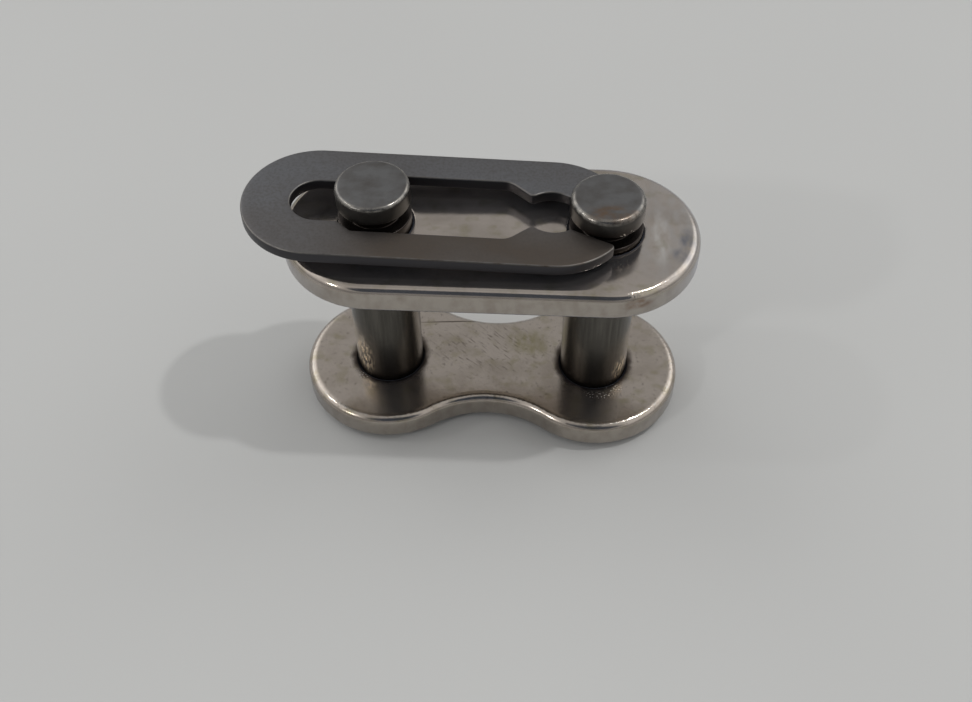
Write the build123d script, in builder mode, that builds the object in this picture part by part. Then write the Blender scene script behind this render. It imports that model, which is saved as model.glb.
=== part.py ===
from build123d import *
from math import atan2, cos, degrees, radians, sin, sqrt, tan
import os

os.makedirs("parts", exist_ok=True)

# Spring-clip connecting link of a roller chain, in millimetres.
# X runs along the chain through both pins and Z runs along the pins, towards the clip.
# The origin lies on the inner face of the riveted plate, midway between the pins.

# Chain size
pitch = 15.875
inner_width = 12.3
pin_diameter = 5.09
plate_thickness = 2.0

# Riveted plate, waisted between the pins, and straight-sided cover plate
plate_width = 13.0
waist_width = 8.0
cover_width = 13.1

# Stamped edges: the punch side rolls over gently, the other side is broken by tumbling
roll_width = 0.6
roll_depth = 0.15
roll_blend = 3.0
burr_break = 0.25
hole_break = 0.4

# Pins, the right-hand one with its groove and head a little lower
press_interference = 0.02
rivet_diameter = 5.8
rivet_height = 0.6
rivet_break = 0.3
shoulder_height = 0.88
groove_diameter = 3.4
head_height = 1.42
head_break = 0.12
right_pin_drop = 0.45

# Spring clip, with its play in the grooves
clip_thickness = 0.85
clip_width = 10.36
clip_edge_break = 0.1
clip_lift = 0.05
clip_play_above = 0.06
slot_clearance = 0.52
slot_end_play = 0.09
closed_end_web = 3.33

# Wide passage that lets a pin head through the clip
passage_clearance = 0.5
passage_offset = 1.55
passage_step = 0.95
passage_round = 0.35

# Neck and throat that the prongs snap over the groove with, and the flared mouth
neck_start = 3.0
neck_gap = 2.8
neck_start_round = 1.2
neck_round = 0.45
throat_gap = 3.1
throat_round = 0.3
mouth_flare = 24.0
prong_tip_round = 0.35

# Rest place of the clip: drawn back up the slope from its seat and a little to one side
clip_backoff = 3.69
clip_side_shift = 0.09

# How closely an edge or corner is matched to its place when it is picked out
pick_tolerance = 0.001

# Worked out from the sizes above
half_pitch = pitch / 2
plate_radius = plate_width / 2
pin_radius = pin_diameter / 2
groove_radius = groove_diameter / 2
hole_radius = (pin_diameter - press_interference) / 2

plate_bottom = -plate_thickness
rivet_bottom = plate_bottom - rivet_height
cover_top = inner_width + plate_thickness

# Levels at the left-hand pin. The clip slopes down from it to the lower groove of the other.
clip_slope = atan2(right_pin_drop, pitch)
slope_rise = pin_radius * tan(clip_slope)
groove_bottom = cover_top + shoulder_height
clip_bottom = groove_bottom + clip_lift + slope_rise
groove_top = clip_bottom + clip_thickness + clip_play_above + slope_rise
head_top = groove_top + head_height


def corners_at(outline, place):
    """Pick the corners of a clip outline that lie at one distance along it."""
    return outline.vertices().filter_by_position(Axis.X, place - pick_tolerance, place + pick_tolerance)


def finish_stamped_edges(plate):
    """Roll the upper outer edge of the plate being built and break its lower one."""
    upper = plate.faces().sort_by(Axis.Z)[-1]
    lower = plate.faces().sort_by(Axis.Z)[0]
    chamfer(lower.edges(), burr_break)
    chamfer(upper.edges(), length=roll_width, length2=roll_depth, reference=upper)
    fillet(plate.faces().sort_by(Axis.Z)[-1].edges(), roll_blend)


# Riveted plate, its rolled edge towards the chain
half_waist = waist_width / 2
waist_radius = (half_pitch**2 + half_waist**2 - plate_radius**2) / (2 * (plate_radius - half_waist))
waist_centre = half_waist + waist_radius
blend_angle = degrees(atan2(waist_centre, half_pitch))
end_sweep = 360 - 2 * blend_angle
waist_sweep = 180 - 2 * blend_angle

with BuildPart() as pin_link_plate:
    with BuildSketch(Plane.XY.offset(plate_bottom)):
        with BuildLine():
            CenterArc((half_pitch, 0), plate_radius, blend_angle - 180, end_sweep)
            CenterArc((0, waist_centre), waist_radius, blend_angle - 180, waist_sweep)
            CenterArc((-half_pitch, 0), plate_radius, blend_angle, end_sweep)
            CenterArc((0, -waist_centre), waist_radius, blend_angle, waist_sweep)
        make_face()
    extrude(amount=plate_thickness)
    finish_stamped_edges(pin_link_plate)
    with BuildSketch(Plane.XY):
        with Locations((-half_pitch, 0), (half_pitch, 0)):
            Circle(hole_radius)
    extrude(amount=-plate_thickness, mode=Mode.SUBTRACT)
    chamfer(pin_link_plate.faces().sort_by(Axis.Z)[-1].inner_wires().edges(), hole_break)
pin_link_plate.part.label = "pin_link_plate"
export_step(pin_link_plate.part, "parts/pin_link_plate.step")

# Pins, a rivet head at the foot and a grooved end at the top
pin_places = {"left_pin": (-half_pitch, 0), "right_pin": (half_pitch, right_pin_drop)}
for pin_name, (pin_x, drop) in pin_places.items():
    with BuildPart() as pin:
        with BuildSketch(Plane((pin_x, 0, rivet_bottom))):
            Circle(rivet_diameter / 2)
        extrude(amount=rivet_height)
        chamfer(pin.edges().sort_by(Axis.Z)[0], rivet_break)
        with BuildSketch(Plane((pin_x, 0, plate_bottom))):
            Circle(pin_radius)
        extrude(amount=head_top - drop - plate_bottom)
        chamfer(pin.edges().sort_by(Axis.Z)[-1], head_break)
        with BuildSketch(Plane((pin_x, 0, groove_bottom - drop))):
            Circle(pin_radius)
            Circle(groove_radius, mode=Mode.SUBTRACT)
        extrude(amount=groove_top - groove_bottom, mode=Mode.SUBTRACT)
    pin.part.label = pin_name
    export_step(pin.part, f"parts/{pin_name}.step")

# Cover plate, its rolled edge away from the chain
with BuildPart() as cover_plate:
    with BuildSketch(Plane.XY.offset(inner_width)):
        SlotCenterToCenter(pitch, cover_width)
    extrude(amount=plate_thickness)
    finish_stamped_edges(cover_plate)
    with BuildSketch(Plane.XY.offset(inner_width)):
        with Locations((-half_pitch, 0), (half_pitch, 0)):
            Circle(hole_radius)
    extrude(amount=plate_thickness, mode=Mode.SUBTRACT)
    chamfer(cover_plate.faces().sort_by(Axis.Z)[-1].inner_wires().edges(), hole_break)
    chamfer(cover_plate.faces().sort_by(Axis.Z)[0].inner_wires().edges(), hole_break)
cover_plate.part.label = "cover_plate"
export_step(cover_plate.part, "parts/cover_plate.step")

# Spring clip, drawn about the centre of its right-hand seat, with the prongs down the slope
slot_radius = groove_radius + slot_clearance / 2
slot_end = pitch + slot_end_play
clip_radius = clip_width / 2
closed_centre = slot_end + slot_radius + closed_end_web - clip_radius
passage_start = slot_end - passage_offset
passage_full = passage_start - passage_step
passage_half = (pin_diameter + passage_clearance) / 2
neck_half = neck_gap / 2
neck_u = sqrt(slot_radius**2 - neck_half**2)
throat_half = throat_gap / 2
throat_u = sqrt(slot_radius**2 - throat_half**2)
mouth_slope = tan(radians(mouth_flare))
seat_from = degrees(atan2(throat_half, throat_u))
seat_to = degrees(atan2(neck_half, -neck_u))

clip_x = half_pitch - clip_backoff * cos(clip_slope)
clip_z = clip_bottom - (clip_x + half_pitch) * tan(clip_slope)
clip_plane = Plane(
    (clip_x, -clip_side_shift, clip_z),
    x_dir=(cos(clip_slope), 0, -sin(clip_slope)),
    z_dir=(sin(clip_slope), 0, cos(clip_slope)),
)
clip_up = Axis(clip_plane.origin, clip_plane.z_dir)

with BuildPart() as spring_clip:
    with BuildSketch(clip_plane) as clip_outline:
        with Locations((-closed_centre / 2, 0)):
            SlotCenterToCenter(closed_centre, clip_width)
        with BuildLine():
            CenterArc((-slot_end, 0), slot_radius, 90, 90)
            Polyline(
                (-slot_end, slot_radius),
                (-passage_start, slot_radius),
                (-passage_full, passage_half),
                (-neck_start, passage_half),
                (-neck_u, neck_half),
            )
            CenterArc((0, 0), slot_radius, seat_from, seat_to - seat_from)
            Polyline(
                (throat_u, throat_half),
                (clip_radius, throat_half + mouth_slope * (clip_radius - throat_u)),
                (clip_radius, 0),
            )
            mirror(about=Plane.XZ)
        make_face(mode=Mode.SUBTRACT)
        fillet(corners_at(clip_outline, -passage_start), passage_round)
        fillet(corners_at(clip_outline, -passage_full), passage_round)
        fillet(corners_at(clip_outline, -neck_start), neck_start_round)
        fillet(corners_at(clip_outline, -neck_u), neck_round)
        fillet(corners_at(clip_outline, throat_u), throat_round)
        fillet(clip_outline.vertices().sort_by(Axis.X)[-2:], prong_tip_round)
    extrude(amount=clip_thickness)
    chamfer(spring_clip.faces().sort_by(clip_up)[-1].edges(), clip_edge_break)
    chamfer(spring_clip.faces().sort_by(clip_up)[0].edges(), clip_edge_break)
spring_clip.part.label = "spring_clip"
export_step(spring_clip.part, "parts/spring_clip.step")
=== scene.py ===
import math

import bmesh
import bpy
import numpy as np
from mathutils import Matrix, Vector, noise
from mathutils.geometry import delaunay_2d_cdt


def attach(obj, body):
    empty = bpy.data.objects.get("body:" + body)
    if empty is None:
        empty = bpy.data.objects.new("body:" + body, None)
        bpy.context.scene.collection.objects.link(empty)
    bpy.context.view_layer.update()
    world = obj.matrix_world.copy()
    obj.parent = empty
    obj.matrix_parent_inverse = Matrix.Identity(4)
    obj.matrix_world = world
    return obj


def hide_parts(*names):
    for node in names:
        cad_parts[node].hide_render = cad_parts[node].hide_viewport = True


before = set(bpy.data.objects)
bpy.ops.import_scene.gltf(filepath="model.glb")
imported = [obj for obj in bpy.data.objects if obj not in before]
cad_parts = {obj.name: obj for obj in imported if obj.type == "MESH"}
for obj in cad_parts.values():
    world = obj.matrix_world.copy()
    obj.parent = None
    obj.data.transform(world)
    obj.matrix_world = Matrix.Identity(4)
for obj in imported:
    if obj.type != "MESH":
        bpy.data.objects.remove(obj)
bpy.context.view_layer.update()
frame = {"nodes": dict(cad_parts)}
print("frame loaded:", ", ".join(frame["nodes"]))

mm = 0.001  # sizes below are in millimetres, and become metres as meshes and patterns are made

# The chain's own sizes, the same as the solids have
chain = {
    "pitch": 15.875,
    "pinRadius": 2.545,
    "holeRadius": 2.535,
    "plateThickness": 2.0,
    "innerWidth": 12.3,
    "rightPinDrop": 0.45,
}
halfPitch = chain["pitch"] / 2
coverTop = chain["innerWidth"] + chain["plateThickness"]


def colour(code):
    # an sRGB hex value, turned to linear
    channels = [int(code[i:i + 2], 16) / 255 for i in (1, 3, 5)]
    return (*[c / 12.92 if c <= 0.04045 else ((c + 0.055) / 1.055) ** 2.4 for c in channels], 1)


def addNode(tree, kind, links, **settings):
    node = tree.nodes.new(kind)
    for name, value in settings.items():
        setattr(node, name, value)
    for socket, value in links.items():
        if isinstance(value, bpy.types.NodeSocket):
            tree.links.new(value, node.inputs[socket])
        else:
            node.inputs[socket].default_value = value
    return node


def newMaterial(name):
    material = bpy.data.materials.new(name)
    material.use_nodes = True
    tree = material.node_tree
    tree.nodes.clear()
    shader = addNode(tree, "ShaderNodeBsdfPrincipled", {})
    addNode(tree, "ShaderNodeOutputMaterial", {"Surface": shader.outputs["BSDF"]})
    return material, tree, shader


def grain(tree, place, size, detail, low, high, most=1.0, turn=0.0):
    # patches this many millimetres long, wide and deep: 0 below one level of noise, most above the other
    sized = addNode(tree, "ShaderNodeMapping", {
        "Vector": place, "Rotation": (0, 0, math.radians(turn)), "Scale": [s * mm for s in size]},
        vector_type="TEXTURE")
    mottle = addNode(tree, "ShaderNodeTexNoise", {
        "Vector": sized.outputs["Vector"], "Scale": 1.0, "Detail": detail})
    levels = addNode(tree, "ShaderNodeMapRange", {
        "Value": mottle.outputs["Fac"], "From Min": low, "From Max": high, "To Max": most})
    return levels.outputs["Result"]


def markAt(tree, place, centre, reach, most=1.0, turn=0.0):
    # a soft patch round a point: most in the inner third of its reach, 0 beyond it
    away = addNode(tree, "ShaderNodeMapping", {
        "Vector": place, "Location": [c * mm for c in centre], "Rotation": (0, 0, math.radians(turn)),
        "Scale": [r * mm for r in reach]}, vector_type="TEXTURE")
    far = addNode(tree, "ShaderNodeVectorMath", {0: away.outputs["Vector"]}, operation="LENGTH")
    patch = addNode(tree, "ShaderNodeMapRange", {
        "Value": far.outputs["Value"], "From Min": 1.0, "From Max": 0.3, "To Max": most},
        interpolation_type="SMOOTHSTEP")
    return patch.outputs["Result"]


def marksAt(tree, place, marks):
    # several soft patches taken together
    together = 0.0
    for middle, reach in marks:
        together = addNode(tree, "ShaderNodeMath", {
            0: markAt(tree, place, middle, reach), 1: together}, operation="MAXIMUM").outputs["Value"]
    return together


def paintOver(tree, mixed, layers):
    # colours laid over one another, each by its share
    for share, tone in layers:
        mixed = addNode(tree, "ShaderNodeMix", {
            "Factor": share, "A": mixed, "B": tone}, data_type="RGBA").outputs["Result"]
    return mixed


def paintPatches(tree, place, mixed, look, patches, broken):
    # soft patches of colour, each broken up by a pattern
    for middle, reach, tone, most in patches:
        share = addNode(tree, "ShaderNodeMath", {
            0: markAt(tree, place, middle, reach, most), 1: broken}, operation="MULTIPLY").outputs["Value"]
        mixed = paintOver(tree, mixed, ((share, colour(look[tone])),))
    return mixed


def setRoughness(tree, shader, rough, layers):
    # each layer's own roughness takes over by its share
    for share, value in layers:
        rough = addNode(tree, "ShaderNodeMapRange", {
            "Value": share, "To Min": rough, "To Max": value}).outputs["Result"]
    tree.links.new(rough, shader.inputs["Roughness"])


def setBump(tree, shader, height, layers):
    # heights in millimetres, each by its share, added up for one bump
    for share, pattern in layers:
        height = addNode(tree, "ShaderNodeMath", {
            0: share, 1: pattern, 2: height}, operation="MULTIPLY_ADD").outputs["Value"]
    bump = addNode(tree, "ShaderNodeBump", {"Height": height, "Distance": mm})
    tree.links.new(bump.outputs["Normal"], shader.inputs["Normal"])


# Bright nickel plating over a stamped and tumbled steel blank: a hazy mirror with a warm cast, under a film
# of oil and dust that greys its darkest reflections. The sheared wall is duller, ribbed and torn along its
# lower part, tumbling leaves the rolled edge grainy and glittering, and brown grime fills the seams round
# the pins.
nickelPlate = {
    "colour": "#b8aea4",
    "smear": "#a59b90",
    "stain": "#857e50",
    "scratch": "#574c40",
    "wall": "#aea69c",
    "wallStain": "#8a7d70",
    "rim": "#b0aaa2",
    # painted glints: white dots on the scraped burrs round the pins, and a streak on the cover
    "paintedGlint": "#ece8e0",
    "grime": "#2b2018",
    # a painted paler reflection, laid over the cover's right end
    "paintedPaleReflection": "#bab6b2",
    # a painted dark bluish reflection, laid on the cover's right end
    "paintedDarkReflection": "#666974",
    "rust": "#7c5f45",
    "dustTint": "#a9b6d0",
    # upward part of a surface's normal, where the wall and both sides of the rim's band begin and are full
    "wallFrom": 0.6,
    "wallFull": 0.2,
    "rimFrom": 0.85,
    "rimFull": 0.93,
    "rimEnd": 0.998,
    "rimEndFull": 0.96,
    "grimeRagged": 0.25,
    "grimeShare": 0.92,
    # depth below the rolled face where the torn part of the wall begins and is full, and how far it wanders
    "tornFrom": -1.25,
    "tornFull": -1.4,
    "tornWander": 0.45,
    "wallRoughness": 0.3,
    "grimeRoughness": 0.4,
    "glintRoughness": 0.45,
    "hazeHeight": 0.0024,
    "grainHeight": 0.01,
    "ribHeight": 0.006,
    "tornHeight": 0.03,
    "scratchHeight": -0.005,
    "galledHeight": 0.015,
    # patterns: size, detail, the two levels of noise they come in between, and a share if it isn't full
    "smearGrain": ((3.4, 2.4, 3.0), 5.0, 0.45, 0.7),
    "stainGrain": ((1.2, 1.0, 1.2), 4.0, 0.52, 0.72, 0.4),
    "speckGrain": ((0.32, 0.32, 0.32), 2.0, 0.61, 0.71),
    "brokenGrain": ((0.6, 1.3, 0.6), 4.0, 0.32, 0.7),
    "wallStainGrain": ((0.8, 0.8, 1.2), 5.0, 0.42, 0.72, 0.5),
    "rubbedGrain": ((0.25, 0.25, 0.25), 2.0, 0.45, 0.6),
    "raggedGrain": ((0.7, 0.7, 0.7), 4.0, 0.3, 0.7),
    "breakGrain": ((0.9, 0.9, 0.9), 4.0, 0.3, 0.7),
    "scratchGrain": ((1.0, 0.16, 1.0), 3.0, 0.57, 0.68),
    "scratchTurn": -40.0,
    "burrGlintGrain": ((0.12, 0.12, 0.12), 0.0, 0.66, 0.72, 0.9),
    # tumbling marks and haze are finer in the metal, and drawn this coarse to show
    "tumbledGrain": ((0.2, 0.2, 0.2), 2.0, 0.25, 0.75),
    "hazeGrain": ((0.35, 0.35, 0.35), 3.0, 0.0, 1.0),
    "ribGrain": ((0.12, 0.12, 1.3), 2.0, 0.2, 0.8),
    "tornGrain": ((0.3, 0.3, 0.22), 3.0, 0.25, 0.75),
    "pittedGrain": ((0.2, 0.2, 0.2), 3.0, 0.3, 0.75),
    # marks: middle, reach, and their share and turn if they have them
    "scratched": ((-0.2, 1.0, 0.0), (6.2, 3.6, 1.0), 0.75),
    "longScratch": ((-3.1, 3.66, 0.0), (4.4, 0.09, 0.5), 0.9, 4.5),
    # soft patches on the faces: middle, reach, tone and strength
    "patches": (
        ((3.0, 1.7, 0.0), (2.4, 1.8, 0.5), "stain", 0.8),
        # painted paler reflection over the cover's right end
        ((12.0, 0.0, 14.3), (4.5, 7.0, 1.5), "paintedPaleReflection", 0.8),
        # painted dark reflections along the cover's right rim
        ((13.5, -0.9, 14.2), (0.8, 1.5, 0.5), "paintedDarkReflection", 0.9),
        ((13.0, -2.4, 14.2), (1.0, 1.0, 0.5), "paintedDarkReflection", 0.8),
        # a painted highlight streak on the cover's right end
        ((11.6, -0.8, 14.3), (0.9, 3.2, 0.5), "paintedGlint", 0.5),
    ),
    # the same on the wall
    "wallPatches": (
        ((9.9, -6.0, 13.5), (1.6, 1.0, 0.6), "rust", 1.0),
    ),
    # galled or dented places: middle and reach
    "galled": (
        ((8.6, -2.9, 0.0), (2.2, 1.0, 0.6)),
        ((9.7, -6.0, 14.1), (0.7, 0.5, 0.4)),
        ((11.6, -5.0, 14.1), (1.1, 0.7, 0.4)),
        ((-12.0, -4.1, 14.2), (0.5, 0.5, 0.4)),
        ((-9.8, -5.3, 14.1), (0.5, 0.4, 0.4)),
    ),
    # burrs scraped up round the pins, with painted glints on them: middle and reach
    "scrapedGlints": (
        ((8.3, -3.3, 0.0), (1.5, 0.5, 0.5)),
        ((9.5, -2.55, 0.0), (0.9, 0.6, 0.5)),
        ((-9.75, -2.15, 0.0), (0.55, 0.5, 0.5)),
    ),
}

# What each plate has of its own. The cover carries more oil film and dust, is less tumbled, and is cleaner
# round the pins.
plateFinish = {
    "pin_link_plate": {
        "material": "brightNickelPlate",
        "rolledFace": 0.0,
        "film": 0.965,
        "dust": 0.16,
        "tumbling": 1.0,
        "specks": 0.38,
        # distance from a pin's axis where the grime is full and where it ends
        "grimeFull": 2.85,
        "grimeEnd": 3.4,
        "roughness": 0.16,
        "smearRoughness": 0.24,
    },
    "cover_plate": {
        "material": "dustyNickelPlate",
        "rolledFace": coverTop,
        "film": 0.94,
        "dust": 0.4,
        "tumbling": 0.35,
        "specks": 0.0,
        "grimeFull": 2.45,
        "grimeEnd": 3.0,
        "roughness": 0.14,
        "smearRoughness": 0.14,
    },
}


def makeNickelPlate(node):
    look = {**nickelPlate, **plateFinish[node]}
    material, tree, shader = newMaterial(look["material"])
    coordinates = addNode(tree, "ShaderNodeTexCoord", {})
    place = coordinates.outputs["Object"]
    spot = addNode(tree, "ShaderNodeSeparateXYZ", {"Vector": place})
    facing = addNode(tree, "ShaderNodeSeparateXYZ", {"Vector": coordinates.outputs["Normal"]})
    level = addNode(tree, "ShaderNodeMath", {0: facing.outputs["Z"]}, operation="ABSOLUTE").outputs["Value"]
    wall = addNode(tree, "ShaderNodeMapRange", {
        "Value": level, "From Min": look["wallFrom"], "From Max": look["wallFull"]}).outputs["Result"]
    rimStart = addNode(tree, "ShaderNodeMapRange", {
        "Value": level, "From Min": look["rimFrom"], "From Max": look["rimFull"]}).outputs["Result"]
    rimEnd = addNode(tree, "ShaderNodeMapRange", {
        "Value": level, "From Min": look["rimEnd"], "From Max": look["rimEndFull"],
        "To Max": look["tumbling"]}).outputs["Result"]
    rim = addNode(tree, "ShaderNodeMath", {0: rimStart, 1: rimEnd}, operation="MULTIPLY").outputs["Value"]

    # grime by distance from the nearer pin's axis, with a ragged edge
    fromMiddle = addNode(tree, "ShaderNodeMath", {0: spot.outputs["X"]}, operation="ABSOLUTE")
    fromAxis = addNode(tree, "ShaderNodeMath", {
        0: fromMiddle.outputs["Value"], 1: halfPitch * mm}, operation="SUBTRACT")
    arm = addNode(tree, "ShaderNodeCombineXYZ", {"X": fromAxis.outputs["Value"], "Y": spot.outputs["Y"]})
    reach = addNode(tree, "ShaderNodeVectorMath", {0: arm.outputs["Vector"]}, operation="LENGTH")
    ragged = grain(tree, place, *look["raggedGrain"], look["grimeRagged"] * mm)
    edge = addNode(tree, "ShaderNodeMath", {0: reach.outputs["Value"], 1: ragged}, operation="ADD")
    grime = addNode(tree, "ShaderNodeMapRange", {
        "Value": edge.outputs["Value"], "From Min": look["grimeEnd"] * mm,
        "From Max": look["grimeFull"] * mm, "To Max": look["grimeShare"]},
        interpolation_type="SMOOTHSTEP").outputs["Result"]

    # the shear leaves off at a wandering depth below the rolled face, and the wall below is torn
    breakLine = grain(tree, place, *look["breakGrain"], look["tornWander"] * mm)
    deeper = addNode(tree, "ShaderNodeMath", {0: spot.outputs["Z"], 1: breakLine}, operation="ADD")
    tornWall = addNode(tree, "ShaderNodeMapRange", {
        "Value": deeper.outputs["Value"], "From Min": (look["rolledFace"] + look["tornFrom"]) * mm,
        "From Max": (look["rolledFace"] + look["tornFull"]) * mm, "To Max": wall}).outputs["Result"]

    smear = grain(tree, place, *look["smearGrain"])
    stain = grain(tree, place, *look["stainGrain"])
    speck = grain(tree, place, *look["speckGrain"], look["specks"])
    broken = grain(tree, place, *look["brokenGrain"])
    wallStain = grain(tree, place, *look["wallStainGrain"])
    rubbed = grain(tree, place, *look["rubbedGrain"], rim)
    scratched = markAt(tree, place, *look["scratched"])
    hairlines = grain(tree, place, *look["scratchGrain"], scratched, look["scratchTurn"])
    longScratch = markAt(tree, place, *look["longScratch"])
    scratch = addNode(tree, "ShaderNodeMath", {
        0: hairlines, 1: longScratch}, operation="MAXIMUM").outputs["Value"]
    # white dots on the scraped burrs, painted as glints
    scrapedGlints = marksAt(tree, place, look["scrapedGlints"])
    burrGlints = grain(tree, place, *look["burrGlintGrain"])
    paintedGlint = addNode(tree, "ShaderNodeMath", {0: scrapedGlints, 1: burrGlints}, operation="MULTIPLY").outputs["Value"]

    stainedWall = paintOver(tree, colour(look["wall"]), ((wallStain, colour(look["wallStain"])),))
    mixed = paintOver(tree, colour(look["colour"]), (
        (smear, colour(look["smear"])), (stain, colour(look["stain"])),
        (speck, colour(look["scratch"])), (scratch, colour(look["scratch"]))))
    mixed = paintPatches(tree, place, mixed, look, look["patches"], broken)
    mixed = paintOver(tree, mixed, (
        (rubbed, colour(look["rim"])), (wall, stainedWall), (grime, colour(look["grime"]))))
    mixed = paintPatches(tree, place, mixed, look, look["wallPatches"], broken)
    mixed = paintOver(tree, mixed, ((paintedGlint, colour(look["paintedGlint"])),))
    tree.links.new(mixed, shader.inputs["Base Color"])

    setRoughness(tree, shader, look["roughness"], (
        (smear, look["smearRoughness"]), (wall, look["wallRoughness"]), (grime, look["grimeRoughness"]),
        (paintedGlint, look["glintRoughness"])))
    galled = marksAt(tree, place, look["galled"])
    setBump(tree, shader, grain(tree, place, *look["hazeGrain"], look["hazeHeight"]), (
        (rim, grain(tree, place, *look["tumbledGrain"], look["grainHeight"])),
        (wall, grain(tree, place, *look["ribGrain"], look["ribHeight"])),
        (tornWall, grain(tree, place, *look["tornGrain"], look["tornHeight"])),
        (galled, grain(tree, place, *look["pittedGrain"], look["galledHeight"])),
        (scratch, look["scratchHeight"])))
    shader.inputs["Metallic"].default_value = look["film"]
    shader.inputs["Sheen Weight"].default_value = look["dust"]
    shader.inputs["Sheen Tint"].default_value = colour(look["dustTint"])
    return material


# Hardened pin steel, ground round and left dark under a little oil: streaked along its length, burnished
# paler on the pressed ends, scored bright where the plates were pressed over it, and greasy brown near the
# plates. The dark low between the plates and round the groove under the head is grease and painted shade
# together.
pinSteel = {
    "colour": "#514e49",
    "streak": "#66635d",
    "crown": "#6e6e6e",
    "head": "#4d4b48",
    "tarnish": "#5c5957",
    # the heads' rounded rims: paler from wear, and partly a painted highlight
    "rim": "#8b8781",
    "score": "#cdbfa8",
    # grease and painted shade, at the pin's foot and round its groove
    "greaseAndShade": "#2b2420",
    "brown": "#6e563f",
    # painted sparkles of highlight under the right head
    "paintedSparkle": "#e2ddd4",
    "film": 0.88,
    "roughness": 0.27,
    "headRoughness": 0.36,
    "rimRoughness": 0.22,
    "scoreHeight": 0.035,
    "hazeHeight": 0.003,
    "dentHeight": 0.006,
    # upward part of a surface's normal, where the crown and both sides of the rim's band begin and are full
    "crownFrom": 0.6,
    "crownFull": 0.97,
    "rimFrom": 0.12,
    "rimFull": 0.4,
    "rimEnd": 0.99,
    "rimEndFull": 0.93,
    # heights where the head's look, the grease and painted shade at the foot, and those round the groove
    # begin and are full
    "headFrom": 15.7,
    "headFull": 15.9,
    "footFrom": 4.0,
    "footFull": 0.3,
    "footShare": 0.75,
    "grooveFrom": 13.0,
    "grooveFull": 14.2,
    "grooveEnd": 16.6,
    "grooveEndFull": 15.9,
    "grooveShare": 0.9,
    # patterns: size, detail, the two levels of noise they come in between, and a share if it isn't full
    "streakGrain": ((0.25, 0.25, 5.0), 3.0, 0.4, 0.75),
    "rimWearAndHighlightGrain": ((0.5, 0.5, 0.5), 3.0, 0.35, 0.6),
    "scoreGrain": ((0.17, 0.17, 0.6), 3.0, 0.44, 0.57),
    "tarnishGrain": ((1.1, 0.8, 1.0), 6.0, 0.35, 0.75),
    "brownGrain": ((0.7, 0.5, 0.7), 5.0, 0.36, 0.66, 0.65),
    "sparkGrain": ((0.16, 0.16, 0.16), 0.0, 0.6, 0.68),
    "dentGrain": ((0.8, 0.8, 0.8), 3.0, 0.3, 0.8),
    # the ground surface is finer, and drawn this coarse to show
    "hazeGrain": ((0.3, 0.3, 0.3), 3.0, 0.0, 1.0),
    # marks: middle and reach
    "scores": (
        ((-9.6, -1.95, 2.0), (1.15, 1.15, 2.4)),
        ((9.85, -1.6, 1.4), (1.0, 0.95, 1.6)),
    ),
    "browned": ((8.2, -1.7, 17.3), (2.6, 1.2, 0.6)),
    # where the painted sparkles lie
    "sparks": ((9.3, -2.1, 15.9), (1.0, 0.9, 0.3)),
}


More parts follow.
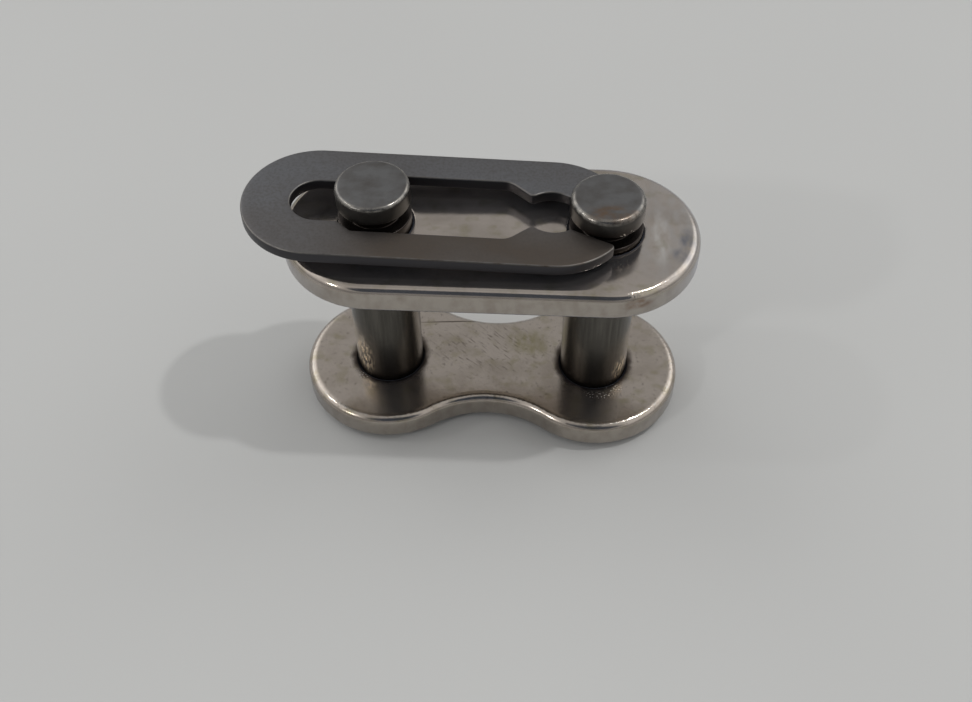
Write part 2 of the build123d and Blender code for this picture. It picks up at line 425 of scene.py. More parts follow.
def makePinSteel():
    look = pinSteel
    material, tree, shader = newMaterial("darkHardenedSteel")
    coordinates = addNode(tree, "ShaderNodeTexCoord", {})
    place = coordinates.outputs["Object"]
    z = addNode(tree, "ShaderNodeSeparateXYZ", {"Vector": place}).outputs["Z"]
    facing = addNode(tree, "ShaderNodeSeparateXYZ", {"Vector": coordinates.outputs["Normal"]}).outputs["Z"]
    crown = addNode(tree, "ShaderNodeMapRange", {
        "Value": facing, "From Min": look["crownFrom"], "From Max": look["crownFull"]}).outputs["Result"]
    rimStart = addNode(tree, "ShaderNodeMapRange", {
        "Value": facing, "From Min": look["rimFrom"], "From Max": look["rimFull"]}).outputs["Result"]
    rimEnd = addNode(tree, "ShaderNodeMapRange", {
        "Value": facing, "From Min": look["rimEnd"], "From Max": look["rimEndFull"]}).outputs["Result"]
    rimBand = addNode(tree, "ShaderNodeMath", {
        0: rimStart, 1: rimEnd}, operation="MULTIPLY").outputs["Value"]
    head = addNode(tree, "ShaderNodeMapRange", {
        "Value": z, "From Min": look["headFrom"] * mm, "From Max": look["headFull"] * mm}).outputs["Result"]
    foot = addNode(tree, "ShaderNodeMapRange", {
        "Value": z, "From Min": look["footFrom"] * mm, "From Max": look["footFull"] * mm,
        "To Max": look["footShare"]}, interpolation_type="SMOOTHSTEP").outputs["Result"]
    grooveLow = addNode(tree, "ShaderNodeMapRange", {
        "Value": z, "From Min": look["grooveFrom"] * mm,
        "From Max": look["grooveFull"] * mm}).outputs["Result"]
    grooveHigh = addNode(tree, "ShaderNodeMapRange", {
        "Value": z, "From Min": look["grooveEnd"] * mm, "From Max": look["grooveEndFull"] * mm,
        "To Max": look["grooveShare"]}).outputs["Result"]
    groove = addNode(tree, "ShaderNodeMath", {
        0: grooveLow, 1: grooveHigh}, operation="MULTIPLY").outputs["Value"]
    # grease, and painted shade low between the plates and in the groove under the head
    greaseAndShade = addNode(tree, "ShaderNodeMath", {0: foot, 1: groove}, operation="MAXIMUM").outputs["Value"]

    # the heads' rims, paler from wear and from a painted highlight
    wornAndHighlit = grain(tree, place, *look["rimWearAndHighlightGrain"], rimBand)
    rim = addNode(tree, "ShaderNodeMath", {0: wornAndHighlit, 1: head}, operation="MULTIPLY").outputs["Value"]
    streak = grain(tree, place, *look["streakGrain"])
    tarnish = grain(tree, place, *look["tarnishGrain"], crown)
    score = grain(tree, place, *look["scoreGrain"], marksAt(tree, place, look["scores"]))
    brown = markAt(tree, place, *look["browned"], grain(tree, place, *look["brownGrain"]))
    # white specks painted as sparkles of highlight
    paintedSparkle = grain(tree, place, *look["sparkGrain"], markAt(tree, place, *look["sparks"]))
    layers = ((streak, "streak"), (head, "head"), (crown, "crown"), (tarnish, "tarnish"), (greaseAndShade, "greaseAndShade"),
              (rim, "rim"), (brown, "brown"), (score, "score"), (paintedSparkle, "paintedSparkle"))
    mixed = paintOver(tree, colour(look["colour"]), [(share, colour(look[tone])) for share, tone in layers])
    tree.links.new(mixed, shader.inputs["Base Color"])
    setRoughness(tree, shader, look["roughness"], (
        (head, look["headRoughness"]), (rim, look["rimRoughness"])))
    setBump(tree, shader, grain(tree, place, *look["hazeGrain"], look["hazeHeight"]), (
        (score, look["scoreHeight"]),
        (head, grain(tree, place, *look["dentGrain"], look["dentHeight"]))))
    shader.inputs["Metallic"].default_value = look["film"]
    return material


# Tempered spring strip under its tempering skin: satin grey, bluish at the closed end and browner along the
# near prong, finely mottled and dusty, with darker sheared walls and edges rubbed paler by tumbling.
springSteel = {
    "blue": "#6c6d70",
    "brown": "#59514a",
    "fleck": "#524e4a",
    "wall": "#414043",
    "edge": "#716e6a",
    "film": 0.85,
    "roughness": 0.4,
    "edgeRoughness": 0.38,
    "grainHeight": 0.004,
    # upward part of a surface's normal, where the wall and both sides of the edge's band begin and are full
    "wallFrom": 0.45,
    "wallFull": 0.1,
    "edgeFrom": 0.3,
    "edgeFull": 0.6,
    "edgeEnd": 0.99,
    "edgeEndFull": 0.9,
    # where the brown begins and is full, across the clip and along it, and how strong it is
    "nearFrom": 2.0,
    "nearFull": -4.0,
    "alongFrom": -15.0,
    "alongFull": -6.0,
    "brownShare": 0.7,
    # patterns: size, detail, the two levels of noise they come in between, and a share if it isn't full
    "castGrain": ((9.0, 5.0, 3.0), 3.0, 0.3, 0.7, 0.45),
    "edgeGrain": ((0.6, 0.6, 0.6), 4.0, 0.3, 0.55),
    # the skin's grain is finer, and drawn this coarse to show
    "fleckGrain": ((0.2, 0.2, 0.2), 3.0, 0.4, 0.7, 0.4),
    "satinGrain": ((0.22, 0.22, 0.22), 3.0, 0.2, 0.8),
}


def makeSpringSteel():
    look = springSteel
    material, tree, shader = newMaterial("temperedSpringSteel")
    coordinates = addNode(tree, "ShaderNodeTexCoord", {})
    place = coordinates.outputs["Object"]
    spot = addNode(tree, "ShaderNodeSeparateXYZ", {"Vector": place})
    facing = addNode(tree, "ShaderNodeSeparateXYZ", {"Vector": coordinates.outputs["Normal"]}).outputs["Z"]
    wall = addNode(tree, "ShaderNodeMapRange", {
        "Value": facing, "From Min": look["wallFrom"], "From Max": look["wallFull"]}).outputs["Result"]
    edgeStart = addNode(tree, "ShaderNodeMapRange", {
        "Value": facing, "From Min": look["edgeFrom"], "From Max": look["edgeFull"]}).outputs["Result"]
    edgeEnd = addNode(tree, "ShaderNodeMapRange", {
        "Value": facing, "From Min": look["edgeEnd"], "From Max": look["edgeEndFull"]}).outputs["Result"]
    edgeBand = addNode(tree, "ShaderNodeMath", {
        0: edgeStart, 1: edgeEnd}, operation="MULTIPLY").outputs["Value"]
    edge = grain(tree, place, *look["edgeGrain"], edgeBand)
    near = addNode(tree, "ShaderNodeMapRange", {
        "Value": spot.outputs["Y"], "From Min": look["nearFrom"] * mm,
        "From Max": look["nearFull"] * mm}).outputs["Result"]
    along = addNode(tree, "ShaderNodeMapRange", {
        "Value": spot.outputs["X"], "From Min": look["alongFrom"] * mm,
        "From Max": look["alongFull"] * mm}).outputs["Result"]
    browned = addNode(tree, "ShaderNodeMath", {0: near, 1: along}, operation="MULTIPLY").outputs["Value"]
    brown = addNode(tree, "ShaderNodeMath", {
        0: browned, 1: look["brownShare"], 2: grain(tree, place, *look["castGrain"])},
        operation="MULTIPLY_ADD", use_clamp=True).outputs["Value"]
    fleck = grain(tree, place, *look["fleckGrain"])
    layers = ((brown, "brown"), (fleck, "fleck"), (wall, "wall"), (edge, "edge"))
    mixed = paintOver(tree, colour(look["blue"]), [(share, colour(look[tone])) for share, tone in layers])
    tree.links.new(mixed, shader.inputs["Base Color"])
    setRoughness(tree, shader, look["roughness"], ((edge, look["edgeRoughness"]),))
    setBump(tree, shader, grain(tree, place, *look["satinGrain"], look["grainHeight"]), ())
    shader.inputs["Metallic"].default_value = look["film"]
    return material


nickel = {node: makeNickelPlate(node) for node in plateFinish}
darkSteel = makePinSteel()
spring = makeSpringSteel()
print("materials made")


# Outlines are lists of (x, y, nx, ny) points, walked with the metal on the left
sameSpot = 1e-4  # two points of an outline this near each other are one


def arcRun(centre, radius, fromAngle, toAngle, spacing):
    steps = max(3, math.ceil(abs(math.radians(toAngle - fromAngle)) * radius / spacing))
    side = 1 if toAngle > fromAngle else -1
    run = []
    for i in range(steps + 1):
        angle = math.radians(fromAngle + (toAngle - fromAngle) * i / steps)
        across, along = math.cos(angle), math.sin(angle)
        run.append((centre[0] + radius * across, centre[1] + radius * along, side * across, side * along))
    return run


def lineRun(start, end, spacing):
    dx, dy = end[0] - start[0], end[1] - start[1]
    length = math.hypot(dx, dy)
    steps = max(1, math.ceil(length / spacing))
    nx, ny = dy / length, -dx / length
    return [(start[0] + dx * i / steps, start[1] + dy * i / steps, nx, ny) for i in range(steps + 1)]


def joined(*runs):
    loop = []
    for run in runs:
        for point in run:
            if not loop or math.dist(loop[-1][:2], point[:2]) > sameSpot:
                loop.append(point)
    if math.dist(loop[0][:2], loop[-1][:2]) < sameSpot:
        loop.pop()
    return loop


def sweepLoop(bm, loop, section):
    rings = []
    for inset, z in section:
        places = [((x - nx * inset) * mm, (y - ny * inset) * mm, z * mm) for x, y, nx, ny in loop]
        rings.append([bm.verts.new(place) for place in places])
    for upper, lower in zip(rings, rings[1:]):
        for i in range(len(loop)):
            j = (i + 1) % len(loop)
            bm.faces.new((upper[i], upper[j], lower[j], lower[i]))
    return rings[0], rings[-1]


def insideRings(points, rings):
    inside = np.zeros(len(points), bool)
    for ring in rings:
        x, y = points[:, 0], points[:, 1]
        for (x0, y0), (x1, y1) in zip(ring, np.roll(ring, -1, 0)):
            if y0 != y1:
                crosses = (y0 > y) != (y1 > y)
                inside ^= crosses & (x < (x1 - x0) * (y - y0) / (y1 - y0) + x0)
    return inside


# The net of triangles on a flat face: distance of its rows and gap to its edge as shares of the spacing, and
# the distance within which two of its points are one
faceNet = {"rowGap": 0.866, "edgeGap": 0.6, "samePoint": 1e-7}


def fillFace(bm, rings, spacing):
    # an even net of triangles between rings, so a face can carry the slight waves of real stamped metal
    flat = [np.array([(v.co.x / mm, v.co.y / mm) for v in ring]) for ring in rings]
    z = rings[0][0].co.z
    low, high = np.vstack(flat).min(0), np.vstack(flat).max(0)
    rows = []
    for row, y in enumerate(np.arange(low[1], high[1], spacing * faceNet["rowGap"])):
        rows += [(x + spacing / 2 * (row % 2), y) for x in np.arange(low[0], high[0], spacing)]
    grid = np.array(rows)
    grid = grid[insideRings(grid, flat)]
    for ring in flat:
        gap = np.min(np.linalg.norm(grid[:, None, :] - ring[None, :, :], axis=2), axis=1)
        grid = grid[gap > spacing * faceNet["edgeGap"]]
    verts, edges = [], []
    for ring in rings:
        first = len(verts)
        verts += ring
        edges += [(first + i, first + (i + 1) % len(ring)) for i in range(len(ring))]
    verts += [bm.verts.new((x * mm, y * mm, z)) for x, y in grid]
    places = [Vector((v.co.x / mm, v.co.y / mm)) for v in verts]
    newPlaces, _, faces, sources, _, _ = delaunay_2d_cdt(places, edges, [], 1, faceNet["samePoint"])
    centres = np.array([np.mean([newPlaces[i][:] for i in face], axis=0) for face in faces])
    keep = insideRings(centres, flat)
    for face, kept in zip(faces, keep):
        if kept:
            bm.faces.new([verts[sources[i][0]] for i in face])


def finishPiece(bm, name, material, body, node):
    bmesh.ops.recalc_face_normals(bm, faces=bm.faces)
    mesh = bpy.data.meshes.new(name)
    bm.to_mesh(mesh)
    bm.free()
    mesh.shade_smooth()
    mesh.materials.append(material)
    piece = bpy.data.objects.new(name, mesh)
    bpy.context.scene.collection.objects.link(piece)
    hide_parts(node)
    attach(piece, body)
    print("built", name, len(mesh.polygons), "faces")
    return piece


def wave(x, y, size, seed):
    return noise.noise(Vector((x / size, y / size, seed)))


# Die roll on the punch side, edges rounded by tumbling, and broken hole mouths
stampedEdge = {
    "rollWidth": 0.8,
    "rollDepth": 0.16,
    "rollPower": 3.0,
    "rollSteps": 12,
    "burrRadius": 0.22,
    "roundSteps": 7,
    "holeBreak": 0.25,
    "spacing": 0.2,
    "faceSpacing": 0.42,
    "waves": ((4.0, 0.008), (1.5, 0.004)),
}


def plateSection(top, bottom, rimInset):
    # (inset, z) points from the upper face over the rolled edge, down the wall and round to the lower face
    edge = stampedEdge
    width = edge["rollWidth"] - rimInset
    section = []
    for i in range(edge["rollSteps"] + 1):
        s = i / edge["rollSteps"]
        section.append((rimInset + width * (1 - s), top - edge["rollDepth"] * s ** edge["rollPower"]))
    slope = math.atan(edge["rollDepth"] * edge["rollPower"] / width)
    rimZ = section[-1][1]
    radius = rimInset / (1 - math.sin(slope))
    for i in range(1, edge["roundSteps"] + 1):
        a = slope + (math.pi / 2 - slope) * i / edge["roundSteps"]
        section.append((radius * (1 - math.sin(a)), rimZ - radius * (math.cos(slope) - math.cos(a))))
    burr = edge["burrRadius"]
    for i in range(edge["roundSteps"] + 1):
        a = math.pi / 2 * (1 - i / edge["roundSteps"])
        section.append((burr * (1 - math.sin(a)), bottom + burr * (1 - math.cos(a))))
    return section


def holeSection(top, bottom, brokenTop, brokenBottom):
    size, steps = stampedEdge["holeBreak"], stampedEdge["roundSteps"]
    section = []
    if brokenTop:
        for i in range(steps + 1):
            a = math.pi / 2 * i / steps
            section.append((size * (1 - math.sin(a)), top - size * (1 - math.cos(a))))
    else:
        section.append((0, top))
    if brokenBottom:
        for i in range(steps + 1):
            a = math.pi / 2 * (1 - i / steps)
            section.append((size * (1 - math.sin(a)), bottom + size * (1 - math.cos(a))))
    else:
        section.append((0, bottom))
    return section


def buildPlate(name, outline, top, bottom, rimInset, mouths):
    # mouths says whether the holes' upper and lower edges are broken
    edge = stampedEdge
    bm = bmesh.new()
    topRings, bottomRings = [], []
    upper, lower = sweepLoop(bm, outline, plateSection(top, bottom, rimInset))
    topRings.append(upper)
    bottomRings.append(lower)
    for x in (-halfPitch, halfPitch):
        hole = joined(arcRun((x, 0), chain["holeRadius"], 360, 0, edge["spacing"]))
        upper, lower = sweepLoop(bm, hole, holeSection(top, bottom, *mouths))
        topRings.append(upper)
        bottomRings.append(lower)
    fillFace(bm, topRings, edge["faceSpacing"])
    fillFace(bm, bottomRings, edge["faceSpacing"])
    for vert in bm.verts:
        x, y = vert.co.x / mm, vert.co.y / mm
        vert.co.z += sum(height * wave(x, y, size, top) for size, height in edge["waves"]) * mm
    return finishPiece(bm, name + "Dressed", nickel[name], "link", name)


coverPlate = {"width": 13.1, "rimInset": 0.24}
coverRadius = coverPlate["width"] / 2
outlineGap = stampedEdge["spacing"]
coverOutline = joined(
    arcRun((halfPitch, 0), coverRadius, -90, 90, outlineGap),
    lineRun((halfPitch, coverRadius), (-halfPitch, coverRadius), outlineGap),
    arcRun((-halfPitch, 0), coverRadius, 90, 270, outlineGap),
    lineRun((-halfPitch, -coverRadius), (halfPitch, -coverRadius), outlineGap),
)
buildPlate("cover_plate", coverOutline, coverTop, chain["innerWidth"], coverPlate["rimInset"], (True, True))

rivetedPlate = {"width": 13.0, "waist": 8.0, "rimInset": 0.2}
plateRadius = rivetedPlate["width"] / 2
halfWaist = rivetedPlate["waist"] / 2
waistRadius = (halfPitch**2 + halfWaist**2 - plateRadius**2) / (2 * (plateRadius - halfWaist))
waistCentre = halfWaist + waistRadius
blend = math.degrees(math.atan2(waistCentre, halfPitch))
rivetedOutline = joined(
    arcRun((halfPitch, 0), plateRadius, blend - 180, 180 - blend, outlineGap),
    arcRun((0, waistCentre), waistRadius, -blend, blend - 180, outlineGap),
    arcRun((-halfPitch, 0), plateRadius, blend, 360 - blend, outlineGap),
    arcRun((0, -waistCentre), waistRadius, 180 - blend, blend, outlineGap),
)
buildPlate(
    "pin_link_plate", rivetedOutline, 0, -chain["plateThickness"], rivetedPlate["rimInset"], (True, False))


pinShape = {
    "rivetRadius": 2.9,
    "rivetHeight": 0.6,
    "rivetRound": 0.28,
    "seatRound": 0.05,
    "plateRound": 0.02,
    "shoulder": 0.88,
    "shoulderRound": 0.08,
    "grooveRadius": 1.7,
    "grooveHeight": 1.104,
    "grooveRound": 0.1,
    "headHeight": 1.42,
    "leftHeadRound": 0.3,
    "rightHeadRound": 0.42,
    "around": 120,
    "roundSteps": 6,
    "ringSpacing": 0.5,
    "endRings": (0.3, 0.6, 0.9),
}


def roundedProfile(corners, steps):
    # corners of (radius, z, rounding), turned to a chain of points with each corner rounded
    points = [corners[0][:2]]
    for before, corner, after in zip(corners, corners[1:], corners[2:]):
        size = corner[2]
        if not size:
            points.append(corner[:2])
            continue
        here, back, on = Vector(corner[:2]), Vector(before[:2]), Vector(after[:2])
        inward, outward = (back - here).normalized(), (on - here).normalized()
        half = inward.angle(outward) / 2
        reach = size / math.tan(half)
        middle = here + (inward + outward).normalized() * size / math.sin(half)
        start, end = here + inward * reach, here + outward * reach
        turn = (start - middle).angle_signed(end - middle)
        for i in range(steps + 1):
            arm = (start - middle).copy()
            arm.rotate(Matrix.Rotation(-turn * i / steps, 2))
            points.append(tuple(middle + arm))
    points.append(corners[-1][:2])
    return points


def buildPin(name, pinX, drop, headRound):
    shape = pinShape
    bottom = -chain["plateThickness"] - shape["rivetHeight"]
    shoulderZ = coverTop + shape["shoulder"] - drop
    grooveZ = shoulderZ + shape["grooveHeight"]
    topZ = grooveZ + shape["headHeight"]
    radius = chain["pinRadius"]
    *innerRings, outerRing = shape["endRings"]
    corners = [
        (outerRing, bottom, 0),
        (shape["rivetRadius"], bottom, shape["rivetRound"]),
        (shape["rivetRadius"], -chain["plateThickness"], shape["seatRound"]),
        (radius, -chain["plateThickness"], shape["plateRound"]),
        (radius, shoulderZ, shape["shoulderRound"]),
        (shape["grooveRadius"], shoulderZ, shape["grooveRound"]),
        (shape["grooveRadius"], grooveZ, shape["grooveRound"]),
        (radius, grooveZ, shape["shoulderRound"]),
        (radius, topZ, headRound),
        (outerRing, topZ, 0),
    ]
    profile = roundedProfile(corners, shape["roundSteps"])
    dense = []
    for (r0, z0), (r1, z1) in zip(profile, profile[1:]):
        steps = max(1, math.ceil(math.hypot(r1 - r0, z1 - z0) / shape["ringSpacing"]))
        dense += [(r0 + (r1 - r0) * i / steps, z0 + (z1 - z0) * i / steps) for i in range(steps)]
    dense.append(profile[-1])
    dense = [(r, bottom) for r in innerRings] + dense + [(r, topZ) for r in reversed(innerRings)]
    bm = bmesh.new()
    rings = []
    for r, z in dense:
        ring = []
        for i in range(shape["around"]):
            angle = 2 * math.pi * i / shape["around"]
            x, y = pinX + r * math.cos(angle), r * math.sin(angle)
            ring.append(bm.verts.new((x * mm, y * mm, z * mm)))
        rings.append(ring)
    for low, high in zip(rings, rings[1:]):
        for i in range(shape["around"]):
            j = (i + 1) % shape["around"]
            bm.faces.new((low[i], low[j], high[j], high[i]))
    for ring, z in ((rings[0], bottom), (rings[-1], topZ)):
        centre = bm.verts.new((pinX * mm, 0, z * mm))
        for i in range(shape["around"]):
            bm.faces.new((ring[i], ring[(i + 1) % shape["around"]], centre))
    return finishPiece(bm, name + "Dressed", darkSteel, "link", name)


buildPin("left_pin", -halfPitch, 0, pinShape["leftHeadRound"])
buildPin("right_pin", halfPitch, chain["rightPinDrop"], pinShape["rightHeadRound"])


clipShape = {
    "thickness": 0.85,
    "lift": 0.05,
    "halfWidth": 5.18,
    "slotClearance": 0.26,
    "slotEndPlay": 0.09,
    "web": 3.33,
    "passageClearance": 0.25,
    "passageOffset": 1.55,
    "passageStep": 0.95,
    "neckStart": 3.0,
    "neckHalf": 1.4,
    "throatHalf": 1.55,
    "mouthFlare": 24.0,
    "passageRound": 0.35,
    "neckStartRound": 1.2,
    "neckRound": 0.45,
    "throatRound": 0.3,
    "tipRound": 0.35,
    "edgeRound": 0.12,
    "edgeSteps": 5,
    "spacing": 0.16,
    "faceSpacing": 0.4,
    "backoff": 3.69,
    "sideShift": 0.09,
}


def cornerRun(before, corner, after, radius, spacing):
    # the arc that rounds a corner between two straight runs
    here, back, on = Vector(corner), Vector(before), Vector(after)
    inward, outward = (back - here).normalized(), (on - here).normalized()
    half = inward.angle(outward) / 2
    middle = here + (inward + outward).normalized() * radius / math.sin(half)
    start, end = here + inward * radius / math.tan(half), here + outward * radius / math.tan(half)
    first = math.degrees(math.atan2(*(start - middle).yx))
    last = math.degrees(math.atan2(*(end - middle).yx))
    last += 360 * round((first - last) / 360)
    return arcRun(middle, radius, first, last, spacing)


def besideLine(start, direction, offset, reach, forward):
    # where a circle's centre lies on a line moved sideways by offset, at this reach from the seat's centre
    side = Vector((direction.y, -direction.x)) * -offset
    base = start + side
    along = base.dot(direction)
    root = math.sqrt(along**2 - base.length_squared + reach**2)
    return base + direction * (-along + (root if forward else -root))


def clipOutline():
    shape = clipShape
    gap = shape["spacing"]
    fine = gap / 3  # for the small roundings
    half = shape["halfWidth"]
    seat = pinShape["grooveRadius"] + shape["slotClearance"]
    slotEnd = chain["pitch"] + shape["slotEndPlay"]
    closedCentre = slotEnd + seat + shape["web"] - half
    passageHalf = chain["pinRadius"] + shape["passageClearance"]
    passageStart = slotEnd - shape["passageOffset"]
    passageFull = passageStart - shape["passageStep"]
    flare = math.radians(shape["mouthFlare"])
    throat = Vector((math.sqrt(seat**2 - shape["throatHalf"]**2), -shape["throatHalf"]))
    neck = Vector((-math.sqrt(seat**2 - shape["neckHalf"]**2), -shape["neckHalf"]))
    mouthWay = Vector((math.cos(flare), -math.sin(flare)))
    inward = -mouthWay
    tip = besideLine(throat, inward, shape["tipRound"], half - shape["tipRound"], False)
    tipOut = math.degrees(math.atan2(tip.y, tip.x))
    flareSide = Vector((inward.y, -inward.x))
    tipIn = math.degrees(math.atan2(flareSide.y, flareSide.x))
    throatArc = besideLine(throat, inward, shape["throatRound"], seat + shape["throatRound"], False)
    throatIn = math.degrees(math.atan2(-throatArc.y, -throatArc.x))
    passage = Vector((-shape["neckStart"], -passageHalf))
    neckWay = (passage - neck).normalized()
    neckArc = besideLine(neck, neckWay, shape["neckRound"], seat + shape["neckRound"], True)
    neckIn = math.degrees(math.atan2(-neckArc.y, -neckArc.x))
    neckSide = Vector((neckWay.y, -neckWay.x))
    neckOut = math.degrees(math.atan2(neckSide.y, neckSide.x))
    full = Vector((-passageFull, -passageHalf))
    slot = Vector((-passageStart, -seat))
    end = Vector((-slotEnd, -seat))
    pastRounding = Vector((1, 0))  # keeps the straight wall clear of the roundings at its ends
    halfLoop = joined(
        arcRun((-closedCentre, 0), half, 180, 270, gap),
        lineRun((-closedCentre, -half), (0, -half), gap),
        arcRun((0, 0), half, -90, tipOut, gap),
        arcRun(tip, shape["tipRound"], tipOut, tipIn, fine),
        arcRun(throatArc, shape["throatRound"], tipIn, throatIn, fine),
        arcRun((0, 0), seat, math.degrees(math.atan2(throatArc.y, throatArc.x)),
               math.degrees(math.atan2(neckArc.y, neckArc.x)), gap),
        arcRun(neckArc, shape["neckRound"], neckIn, neckOut, fine),
        cornerRun(neck, passage, full, shape["neckStartRound"], gap),
        lineRun(passage - pastRounding, full + pastRounding, gap),
        cornerRun(passage, full, slot, shape["passageRound"], fine),
        cornerRun(full, slot, end, shape["passageRound"], fine),
        arcRun((-slotEnd, 0), seat, 270, 180, gap),
    )
    mirrored = [(x, -y, nx, -ny) for x, y, nx, ny in reversed(halfLoop)]
    return joined(halfLoop, mirrored)


def buildClip():
    shape = clipShape
    bottom, top = 0, shape["thickness"]
    size, steps = shape["edgeRound"], shape["edgeSteps"]
    arc = [math.pi / 2 * i / steps for i in range(steps + 1)]
    section = [(size * (1 - math.sin(a)), top - size * (1 - math.cos(a))) for a in arc]
    section += [(size * (1 - math.sin(a)), bottom + size * (1 - math.cos(a))) for a in reversed(arc)]
    bm = bmesh.new()
    upper, lower = sweepLoop(bm, clipOutline(), section)
    fillFace(bm, [upper], shape["faceSpacing"])
    fillFace(bm, [lower], shape["faceSpacing"])
    # the clip lies on the slope from the left groove down to the lower one of the right pin
    slope = math.atan2(chain["rightPinDrop"], chain["pitch"])
    leftZ = coverTop + pinShape["shoulder"] + shape["lift"] + chain["pinRadius"] * math.tan(slope)
    seatX = halfPitch - shape["backoff"] * math.cos(slope)
    seatZ = leftZ - (seatX + halfPitch) * math.tan(slope)
    seat = Vector((seatX, -shape["sideShift"], seatZ)) * mm
    bm.transform(Matrix.Translation(seat) @ Matrix.Rotation(slope, 4, "Y"))
    return finishPiece(bm, "springClipDressed", spring, "clip", "spring_clip")


buildClip()


# A plain matt table top, faintly mottled
tableTop = {
    "colour": "#c2c2c0",
    "mottleGrain": ((60.0, 60.0, 60.0), 2.0, 0.3, 0.7),
    "mottleStrength": 0.02,
    "roughness": 0.6,
    "specular": 0.1,
    "reach": 1500.0,
}


def buildFloor():
    material, tree, shader = newMaterial("matteWhiteLaminate")
    place = addNode(tree, "ShaderNodeTexCoord", {}).outputs["Object"]
    mottle = grain(tree, place, *tableTop["mottleGrain"])
    base, strength = Vector(colour(tableTop["colour"])[:3]), tableTop["mottleStrength"]
    tint = paintOver(tree, (*(base * (1 - strength)), 1), ((mottle, (*(base * (1 + strength)), 1)),))
    tree.links.new(tint, shader.inputs["Base Color"])
    shader.inputs["Roughness"].default_value = tableTop["roughness"]
    shader.inputs["Specular IOR Level"].default_value = tableTop["specular"]
    bm = bmesh.new()
    reach, z = tableTop["reach"] * mm, -(chain["plateThickness"] + pinShape["rivetHeight"]) * mm
    bm.faces.new([bm.verts.new((x * reach, y * reach, z)) for x, y in ((-1, -1), (1, -1), (1, 1), (-1, 1))])
    mesh = bpy.data.meshes.new("floor")
    bm.to_mesh(mesh)
    bm.free()
    mesh.materials.append(material)
    floor = bpy.data.objects.new("floor", mesh)
    bpy.context.scene.collection.objects.link(floor)


# A pale room, dimmer in front, overhead and straight behind the link, with a soft glow behind it to the left
# and to the right, and a dark camera body in front. Ways are directions from the link.
room = {
    "level": 0.87,
    # share of the level at the horizon, and the heights between which the room rises to its full level
    "horizon": 0.4,
    "riseFrom": 0.1,
    "riseTo": 0.55,
    # where a change in the room's level begins and is full, and what it makes of the level
    "behindWay": (0, 0.5, 0.87),
    "behind": (0.5, 0.88, 0.532),
    "sides": (0.25, 0.75, 1.3),
    "front": (0.1, -0.5, 0.67),
    # the same for the glow, which is added
    "glowWay": (0.61, 0.51, 0.61),
    "glow": (0.9, 0.98, 1.15),
    # the camera body, and the shares of its reach where its soft edge begins and it is full
    "cameraBody": "#3f4754",
    "bodyWay": (0.05, -0.7, 0.6),
    "bodyReach": (0.5, 0.32, 0.45),
    "bodyEdge": (1.05, 0.85),
}


def buildWorld():
    world = bpy.data.worlds.new("paleRoom")
    bpy.context.scene.world = world
    world.use_nodes = True
    tree = world.node_tree
    tree.nodes.clear()
    way = addNode(tree, "ShaderNodeTexCoord", {}).outputs["Generated"]
    parts = addNode(tree, "ShaderNodeSeparateXYZ", {"Vector": way}).outputs
    level = addNode(tree, "ShaderNodeMapRange", {
        "Value": parts["Z"], "From Min": room["riseFrom"], "From Max": room["riseTo"],
        "To Min": room["horizon"] * room["level"], "To Max": room["level"]},
        interpolation_type="SMOOTHSTEP").outputs["Result"]
    behind = addNode(tree, "ShaderNodeVectorMath", {
        0: way, 1: room["behindWay"]}, operation="DOT_PRODUCT").outputs["Value"]
    sideways = addNode(tree, "ShaderNodeMath", {0: parts["X"]}, operation="ABSOLUTE").outputs["Value"]
    for measure, name in ((behind, "behind"), (sideways, "sides"), (parts["Y"], "front")):
        start, full, share = room[name]
        change = addNode(tree, "ShaderNodeMapRange", {
            "Value": measure, "From Min": start, "From Max": full, "To Min": 1.0, "To Max": share},
            interpolation_type="SMOOTHSTEP").outputs["Result"]
        level = addNode(tree, "ShaderNodeMath", {0: level, 1: change}, operation="MULTIPLY").outputs["Value"]
    twinWay = addNode(tree, "ShaderNodeCombineXYZ", {"X": sideways, "Y": parts["Y"], "Z": parts["Z"]})
    nearGlow = addNode(tree, "ShaderNodeVectorMath", {
        0: twinWay.outputs["Vector"], 1: room["glowWay"]}, operation="DOT_PRODUCT").outputs["Value"]
    start, full, share = room["glow"]
    glow = addNode(tree, "ShaderNodeMapRange", {
        "Value": nearGlow, "From Min": start, "From Max": full, "To Max": share * room["level"]},
        interpolation_type="SMOOTHSTEP").outputs["Result"]
    level = addNode(tree, "ShaderNodeMath", {0: level, 1: glow}, operation="ADD").outputs["Value"]
    away = addNode(tree, "ShaderNodeMapping", {
        "Vector": way, "Location": room["bodyWay"], "Scale": room["bodyReach"]}, vector_type="TEXTURE")
    far = addNode(tree, "ShaderNodeVectorMath", {0: away.outputs["Vector"]}, operation="LENGTH")
    edge, full = room["bodyEdge"]
    body = addNode(tree, "ShaderNodeMapRange", {
        "Value": far.outputs["Value"], "From Min": edge, "From Max": full},
        interpolation_type="SMOOTHSTEP").outputs["Result"]
    pale = addNode(tree, "ShaderNodeBackground", {"Color": (1, 1, 1, 1), "Strength": level})
    held = addNode(tree, "ShaderNodeBackground", {"Color": colour(room["cameraBody"]), "Strength": 1.0})
    light = addNode(tree, "ShaderNodeMixShader", {
        "Fac": body, 1: pale.outputs["Background"], 2: held.outputs["Background"]})
    addNode(tree, "ShaderNodeOutputWorld", {"Surface": light.outputs["Shader"]})


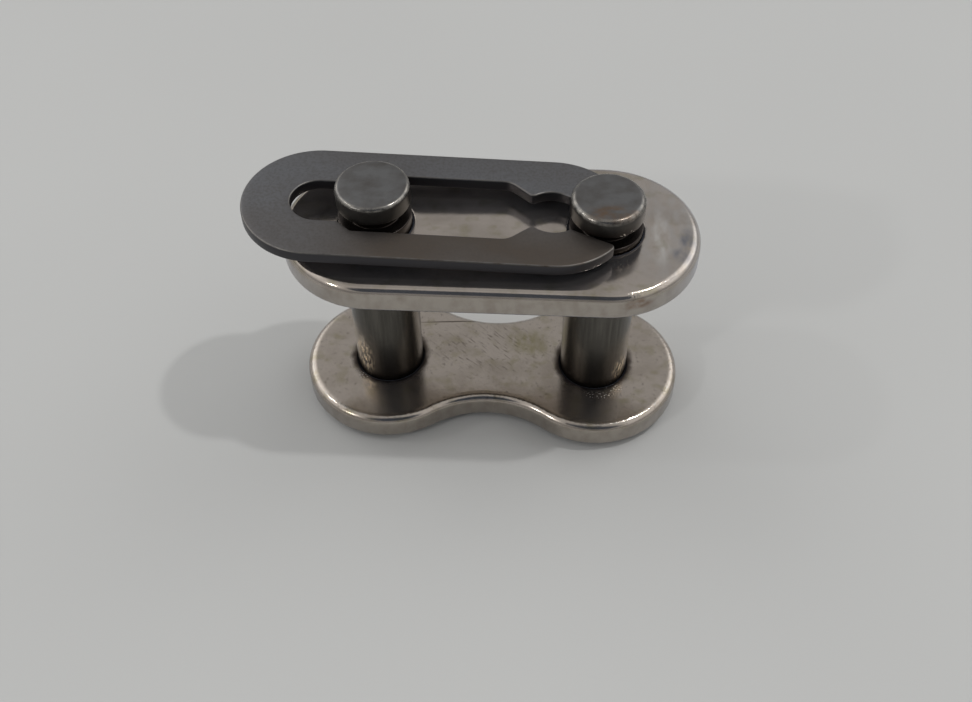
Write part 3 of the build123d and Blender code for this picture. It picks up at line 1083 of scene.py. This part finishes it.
# Small lamps, each named by the side it stands on, with its share of the floor's light and size in degrees
lamps = {
    "lampRight": {"towards": (0.414, 0.071, 0.907), "share": 0.15, "size": 2.2},
    "lampLeft": {"towards": (-0.689, 0.016, 0.725), "share": 0.03, "size": 2.8},
    "lampFrontLeft": {"towards": (-0.639, -0.544, 0.544), "share": 0.045, "size": 3.5},
}
lampDistance = 600.0


def buildLamps():
    for name, lamp in lamps.items():
        towards = Vector(lamp["towards"]).normalized()
        radius = lampDistance * math.tan(math.radians(lamp["size"] / 2)) * mm
        data = bpy.data.lights.new(name, "AREA")
        data.shape = "DISK"
        data.size = 2 * radius
        # a disk of power P lights a facing surface at distance d with P / (pi d^2)
        data.energy = lamp["share"] * math.pi * math.pi * (lampDistance * mm) ** 2 / towards.z
        lampObject = bpy.data.objects.new(name, data)
        lampObject.location = towards * lampDistance * mm
        lampObject.rotation_euler = towards.to_track_quat("Z", "Y").to_euler()
        bpy.context.scene.collection.objects.link(lampObject)


# A hand-held camera close above the link: place, then heading, tilt and roll in degrees
cameraPlace = {
    "place": (3.3863, -56.7461, 68.3033),
    "heading": 3.845,
    "tilt": 40.113,
    "roll": -0.8365,
    "lens": 41.877,
    "sensorWidth": 36,
    "clipStart": 1.0,
}


def buildCamera():
    data = bpy.data.cameras.new("camera")
    data.lens = cameraPlace["lens"]
    data.sensor_width = cameraPlace["sensorWidth"]
    data.clip_start = cameraPlace["clipStart"] * mm
    camera = bpy.data.objects.new("camera", data)
    turn = Matrix.Rotation(math.radians(cameraPlace["heading"]), 4, "Z")
    turn = turn @ Matrix.Rotation(math.radians(cameraPlace["tilt"]), 4, "X")
    turn = turn @ Matrix.Rotation(math.radians(cameraPlace["roll"]), 4, "Z")
    camera.matrix_world = Matrix.Translation(Vector(cameraPlace["place"]) * mm) @ turn
    bpy.context.scene.collection.objects.link(camera)
    bpy.context.scene.camera = camera


buildFloor()
buildWorld()
buildLamps()
buildCamera()
bpy.context.scene.view_settings.view_transform = "Standard"
print("studio ready")
